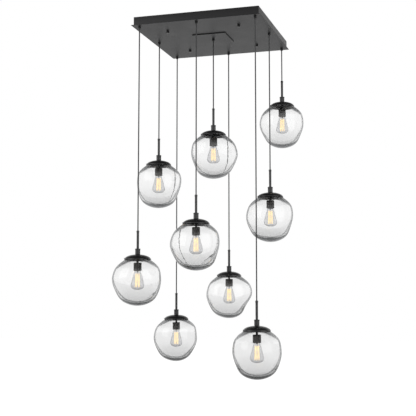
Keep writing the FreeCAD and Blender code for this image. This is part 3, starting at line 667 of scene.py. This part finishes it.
def lamp_mount_shape():
    """The glass stem with its flare, and the centre rod of the cage."""
    shape = bmesh.new()
    mouth = SOCKET_MOUTH / MM
    turn(shape, in_mm((0, mouth + 3), (6, mouth + 3), (3.2, mouth - 2), (2.6, mouth - 10), (1.6, mouth - 14),
                      (0, mouth - 14.5)), ROUND // 2)
    rod(shape, Vector((0, 0, (mouth - 13) * MM)), Vector((0, 0, (mouth - FILAMENT_BOTTOM) * MM)), CENTRE_ROD)
    return shape


lamp_glass = bulb_glass()
brass = lamp_brass()
glow = filament_glow()
for name in PENDANTS:
    body = f"pendant_{name}"
    glass = settle(hang(bulb_glass_shape(), name), f"bulb_{name}_glass", lamp_glass, body,
                   crease=60.0)
    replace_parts(glass, f"bulb_{name}")
    settle(hang(base_shape(), name), f"bulb_{name}_base", brass, body)
    settle(hang(filament_shape(), name), f"bulb_{name}_filament", glow, body)
    settle(hang(lamp_mount_shape(), name), f"bulb_{name}_mount", lamp_glass, body)

# Globes ---------------------------------------------------------------------------------------
# Clear glass blown free-hand, so each is out of round in its own way: flats and swells a hand
# across.  The wall is about 4 mm and gathers thicker at the bottom, where it shows darkest, partly from that
# thicker glass and partly from painted shade.

GLOBE_RADIUS = 105.0         # this and the values down to NECK_FADE are in millimetres
GLOBE_HEIGHT = 220.0         # of the whole egg, whose top the neck cuts off
GLOBE_DEPTH = 202.5          # from the rim of the cap to the bottom
GLOBE_WALL = 4.0
GLOBE_FLOOR = 12.0
NECK_RADIUS = 50.0
NECK_FLARE = 4.0             # how much wider the glass is where the neck leaves the egg
NECK_RISE = 8.0              # how far the neck stands up inside the cap
SHOULDER_SWELL = 6.0         # how much fuller than the egg every globe is below its neck
SHOULDER_DROP = 30.0
FOOT_SWELL = 5.0             # and near its bottom
FOOT_HEIGHT = 20.0
SWELL_REACH = 30.0
LOBE_REACH = 44.0            # how far up and down a lobe runs out
RIPPLE = 0.5                 # unevenness left in the wall by blowing
RIPPLE_SPAN = 45.0
NECK_FADE = 20.0             # the ripple dies away over this height, up to the cap
POLE_FADE = 0.5              # share of the radius over which lobes die away to the bottom pole
RIM_FADE = 12                # power by which lobes die away up to the cap
LOBE_WIDTH = 48.0            # degrees round the globe over which a lobe runs out
EGG_STEPS = 56
EGG_ROUND = 112
RIPPLE_STEP = 7.3            # apart in the noise, so that no two globes ripple alike
STREAK_SPAN = 60.0 * MM      # the broad streaks that the pipe leaves in the surface
STREAK_DEPTH = 1.0 * MM
EDGE_START = 0.64            # share of grazing view from which painted shade darkens the wall
EDGE_FULL = 0.76
FOOT_SHADE_SHIFT = 0.26            # how much sooner the painted shade begins where the glass faces down
FOOT_START = -0.45           # how far the surface faces down where that begins
FOOT_FULL = -0.95
# painted shade: the grey that the glass is painted at its edges and where it faces down
EDGE_PAINTED_SHADE = "2a2c2e"
GLASS_BODY = "bcbdbd"        # what a thick piece of the glass lets through
GLASS_DENSITY = 20.0         # how strongly it takes up light, per metre

LOBES = {   # (degrees round from +X, height above the bottom, swell), as the glass was pulled
    "front_left": [(197, 120, 8), (17, 70, -1), (300, 60, -8), (100, 130, -7)],
    "front_centre": [(197, 115, 9), (17, 75, -6), (110, 70, -7), (275, 60, 5)],
    "front_right": [(197, 62, -4), (17, 70, -2), (270, 130, 5), (120, 60, -8)],
    "middle_left": [(17, 71, -5), (17, 146, 5), (240, 90, -9), (100, 120, 6)],
    "centre": [(197, 60, -7), (17, 116, 9), (300, 80, -9), (120, 100, 6)],
    "middle_right": [(197, 115, 6), (17, 68, -6), (280, 55, 5), (90, 90, -8)],
    "back_left": [(197, 117, 6), (17, 38, -9), (17, 126, -3), (120, 60, 5)],
    "back_centre": [(17, 55, -15), (17, 125, 9), (197, 115, 6), (290, 120, -9)],
    "back_right": [(17, 59, -7), (197, 118, 6), (225, 45, -9), (300, 120, -6)],
}


def swell(lobes, degrees, height):
    """How far the glass stands out of the plain egg, in millimetres."""
    fade = 1.0 - min(1.0, max(0.0, height / GLOBE_DEPTH)) ** RIM_FADE
    fullest = GLOBE_DEPTH - SHOULDER_DROP
    total = SHOULDER_SWELL * math.exp(-((height - fullest) / SWELL_REACH) ** 2)
    total += FOOT_SWELL * math.exp(-((height - FOOT_HEIGHT) / SWELL_REACH) ** 2)
    for lobe_degrees, lobe_height, amount in lobes:
        round_it = (degrees - lobe_degrees + 180.0) % 360.0 - 180.0
        away = (round_it / LOBE_WIDTH) ** 2 + ((height - lobe_height) / LOBE_REACH) ** 2
        total += amount * math.exp(-away)
    return total * fade


def egg_line(inset, floor):
    """Radius and height along the plain egg, from its bottom pole to the top of its neck."""
    radius = GLOBE_RADIUS - inset
    half = (GLOBE_HEIGHT - floor - inset) / 2
    neck = NECK_RADIUS - inset
    shoulder = math.pi - math.asin((neck + NECK_FLARE) / radius)
    line = []
    for step in range(EGG_STEPS + 1):
        angle = shoulder * step / EGG_STEPS
        line.append((radius * math.sin(angle), floor + half * (1 - math.cos(angle))))
    top = GLOBE_DEPTH + NECK_RISE
    last = line[-1][1]
    line += [(neck + 2, last + (top - last) * 0.25), (neck + 0.6, (last + top) / 2), (neck, top - 1.0)]
    return line


def globe_shape(lobes, seed):
    """One globe with its wall: the egg turned, then pushed in and out of round."""
    shape = bmesh.new()
    outside = egg_line(0.0, 0.0)
    inside = egg_line(GLOBE_WALL, GLOBE_FLOOR)
    lip = GLOBE_DEPTH + NECK_RISE
    lip_points = [(NECK_RADIUS - 0.7, lip - 0.2), (NECK_RADIUS - GLOBE_WALL / 2, lip),
                  (NECK_RADIUS - GLOBE_WALL + 0.7, lip - 0.2)]
    turn(shape, in_mm(*outside, *lip_points, *inside[::-1]), EGG_ROUND, closed=False)
    shape.verts.ensure_lookup_table()
    for vert in shape.verts:
        reach = vert.co.xy.length / MM
        height = vert.co.z / MM
        if reach < 0.01:
            continue
        degrees = math.degrees(math.atan2(vert.co.y, vert.co.x))
        pole_fade = min(1.0, reach / (POLE_FADE * GLOBE_RADIUS))
        uneven = (noise.noise(Vector(vert.co) / (RIPPLE_SPAN * MM) + Vector((seed, 0, 0))) - 1) * RIPPLE / 2
        neck_fade = min(1.0, max(0.0, (GLOBE_DEPTH - height) / NECK_FADE))
        grown = reach + (swell(lobes, degrees, height) + uneven * neck_fade) * pole_fade
        vert.co.xy *= grown / reach
    bmesh.ops.translate(shape, vec=(0, 0, CAP_RIM - GLOBE_DEPTH * MM), verts=shape.verts)
    return shape


def blown_glass():
    # Clear soda-lime glass, 4 mm and more, which takes up a little light in its body.  Its colour is painted
    # dark grey where the wall is seen edge on and where it faces down: painted shade at its edges and bottom.
    material, shader, position = new_finish("clear_blown_glass", Roughness=0.0, IOR=1.5)
    shader.inputs["Transmission Weight"].default_value = 1.0
    along_wall = add_node(material, "ShaderNodeLayerWeight", {"Blend": 0.5})
    outward = add_node(material, "ShaderNodeSeparateXYZ", {
        "Vector": add_node(material, "ShaderNodeNewGeometry").outputs["Normal"]})
    # painted shade where the glass faces down
    painted_foot_shade = add_node(material, "ShaderNodeMapRange", {
        "Value": outward.outputs["Z"], "From Min": FOOT_START, "From Max": FOOT_FULL, "To Max": FOOT_SHADE_SHIFT})
    grazing = add_node(material, "ShaderNodeMath", {0: along_wall.outputs["Facing"],
                                                    1: painted_foot_shade.outputs["Result"]}, operation="ADD")
    painted_edge_shade = add_node(material, "ShaderNodeMapRange", {"Value": grazing.outputs["Value"],
                                                     "From Min": EDGE_START, "From Max": EDGE_FULL})
    tone = add_node(material, "ShaderNodeMix", {"Factor": painted_edge_shade.outputs["Result"]}, data_type="RGBA")
    tone.inputs[6].default_value = (1.0, 1.0, 1.0, 1.0)
    tone.inputs[7].default_value = linear(EDGE_PAINTED_SHADE)
    feed(material, shader.inputs["Base Color"], tone.outputs[2])
    streaks = add_node(material, "ShaderNodeTexNoise", {
        "Vector": position, "Scale": 1 / STREAK_SPAN, "Detail": 2.0, "Distortion": 1.5})
    bump = add_node(material, "ShaderNodeBump", {"Height": streaks.outputs["Fac"], "Strength": 0.3,
                                                 "Distance": STREAK_DEPTH})
    feed(material, shader.inputs["Normal"], bump.outputs["Normal"])
    haze = add_node(material, "ShaderNodeVolumeAbsorption")
    haze.inputs["Color"].default_value = linear(GLASS_BODY)
    haze.inputs["Density"].default_value = GLASS_DENSITY
    send_out(material, "Volume", haze.outputs["Volume"])
    let_light_in(material, shader)
    return material


clear_glass = blown_glass()
for seed, name in enumerate(PENDANTS):
    blown = hang(globe_shape(LOBES[name], seed * RIPPLE_STEP), name)
    globe = settle(blown, f"globe_{name}_blown", clear_glass, f"pendant_{name}", crease=180.0)
    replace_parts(globe, f"globe_{name}")

# Stage ----------------------------------------------------------------------------------------
# A pale floor far below the light, a soft white surround that darkens overhead, and two broad
# lamps.  The camera looks slightly up from in front and to the right.

FLOOR_DROP = 0.9             # metres below the lowest globe
FLOOR_REACH = 40.0           # metres from its middle to each side
FLOOR_PAINT = "dcdcdc"
PAINTED_SHADOW_REACH = 2.7              # metres out from the light to which the floor's glow carries a painted shadow
BRIGHT_REACH = 3.6           # and from which it is as bright as the background
# how bright the floor's glow is inside that painted shadow
PAINTED_SHADOW_STRENGTH = 0.5
WHITE_STRENGTH = 1.2         # a little over white, for the share of paint that is mixed in
GLOW_SHARE = 0.85            # the rest of the floor is plain paint, which takes the shadow
floor_shape = bmesh.new()
bmesh.ops.create_grid(floor_shape, x_segments=1, y_segments=1, size=FLOOR_REACH)
bmesh.ops.translate(floor_shape, vec=(0, 0, cad_low.z - FLOOR_DROP), verts=floor_shape.verts)
floor_mesh = bpy.data.meshes.new("floor")
floor_shape.to_mesh(floor_mesh)
floor_shape.free()
floor = bpy.data.objects.new("floor", floor_mesh)
bpy.context.scene.collection.objects.link(floor)


def pale_floor():
    # Matt white paint, lit to the white of the background.  For light that bounces off it, its glow
    # is painted dimmer under the light, a painted shadow that the glass picks up along its lower edges.
    material, shader, position = new_finish("pale_floor", Roughness=0.9)
    shader.inputs["Base Color"].default_value = linear(FLOOR_PAINT)
    shader.inputs["Specular IOR Level"].default_value = 0.0
    reach = add_node(material, "ShaderNodeVectorMath", {0: position}, operation="LENGTH")
    far = add_node(material, "ShaderNodeMapRange", {
        "Value": reach.outputs["Value"], "From Min": PAINTED_SHADOW_REACH, "From Max": BRIGHT_REACH,
        "To Min": PAINTED_SHADOW_STRENGTH, "To Max": 1.0})
    # the floor's glow, with the painted shadow under the light
    shadow_painted_glow = add_node(material, "ShaderNodeEmission", {"Strength": far.outputs["Result"]})
    path = add_node(material, "ShaderNodeLightPath")
    white = add_node(material, "ShaderNodeEmission", {"Strength": WHITE_STRENGTH})
    glow = add_node(material, "ShaderNodeMixShader", {
        0: path.outputs["Is Camera Ray"], 1: shadow_painted_glow.outputs["Emission"], 2: white.outputs["Emission"]})
    both = add_node(material, "ShaderNodeMixShader", {0: GLOW_SHARE, 1: shader.outputs["BSDF"],
                                                      2: glow.outputs["Shader"]})
    # Its lower side isn't there, so that the light can also be looked at from below.
    above_only = add_node(material, "ShaderNodeMixShader", {
        0: add_node(material, "ShaderNodeNewGeometry").outputs["Backfacing"], 1: both.outputs["Shader"],
        2: add_node(material, "ShaderNodeBsdfTransparent").outputs["BSDF"]})
    send_out(material, "Surface", above_only.outputs["Shader"])
    return material


floor_mesh.materials.append(pale_floor())

CEILING_START = 0.3          # how far up a direction points where the surround begins to darken
CEILING_FULL = 0.75
CEILING_STRENGTH = 0.12
scene = bpy.context.scene
scene.view_settings.view_transform = "Standard"
world = bpy.data.worlds.new("studio")
scene.world = world
world.use_nodes = True
world.node_tree.nodes.clear()
direction = add_node(world, "ShaderNodeTexCoord")
upward = add_node(world, "ShaderNodeSeparateXYZ", {"Vector": direction.outputs["Generated"]})
overhead = add_node(world, "ShaderNodeMapRange", {
    "Value": upward.outputs["Z"], "From Min": CEILING_START, "From Max": CEILING_FULL, "To Min": 1.0,
    "To Max": CEILING_STRENGTH})
surround = add_node(world, "ShaderNodeBackground", {"Strength": overhead.outputs["Result"]})
white = add_node(world, "ShaderNodeBackground", {"Strength": 1.0})
white.inputs["Color"].default_value = (1.0, 1.0, 1.0, 1.0)
surround.inputs["Color"].default_value = (1.0, 1.0, 1.0, 1.0)
path = add_node(world, "ShaderNodeLightPath")
seen = add_node(world, "ShaderNodeMixShader", {
    0: path.outputs["Is Camera Ray"], 1: surround.outputs["Background"], 2: white.outputs["Background"]})
add_node(world, "ShaderNodeOutputWorld", {"Surface": seen.outputs["Shader"]})


def soft_lamp(name, place, target, size, power):
    """A square lamp of some metres and watts that faces the target."""
    light = bpy.data.lights.new(name, "AREA")
    light.shape = "SQUARE"
    light.size = size
    light.energy = power
    lamp = bpy.data.objects.new(name, light)
    lamp.location = place
    lamp.visible_transmission = False      # so no lamp stands as a bright square behind the glass
    lamp.rotation_mode = "QUATERNION"
    lamp.rotation_quaternion = (Vector(target) - Vector(place)).to_track_quat("-Z", "Y")
    bpy.context.scene.collection.objects.link(lamp)
    return lamp


# The key stands in front to the left, and the fill in front to the right and a little lower.
LIGHT_MIDDLE = (0, 0, -0.8)
soft_lamp("key_lamp", (-3.2, -3.0, 0.6), LIGHT_MIDDLE, 3.2, 48.0)
soft_lamp("fill_lamp", (3.4, -1.6, -0.2), LIGHT_MIDDLE, 3.0, 36.0)

# The camera has an 84 mm lens, stands 4.6 m away, and is turned 16.7 degrees and tipped up 6.3.
CAMERA_PLACE = Vector((1.2564, -4.2840, -1.3422))
CAMERA_TURN = math.radians(16.67)
CAMERA_TIP = math.radians(6.32)
LENS = 83.9
FRAME_WIDTH = 36.0           # millimetres, as the lens is
forward = Vector((-math.sin(CAMERA_TURN) * math.cos(CAMERA_TIP), math.cos(CAMERA_TURN) * math.cos(CAMERA_TIP),
                  math.sin(CAMERA_TIP)))
camera = bpy.data.objects.new("camera", bpy.data.cameras.new("camera"))
camera.data.sensor_width = FRAME_WIDTH
camera.data.lens = LENS
camera.location = CAMERA_PLACE
camera.rotation_mode = "QUATERNION"
camera.rotation_quaternion = forward.to_track_quat("-Z", "Y")
scene.collection.objects.link(camera)
scene.camera = camera
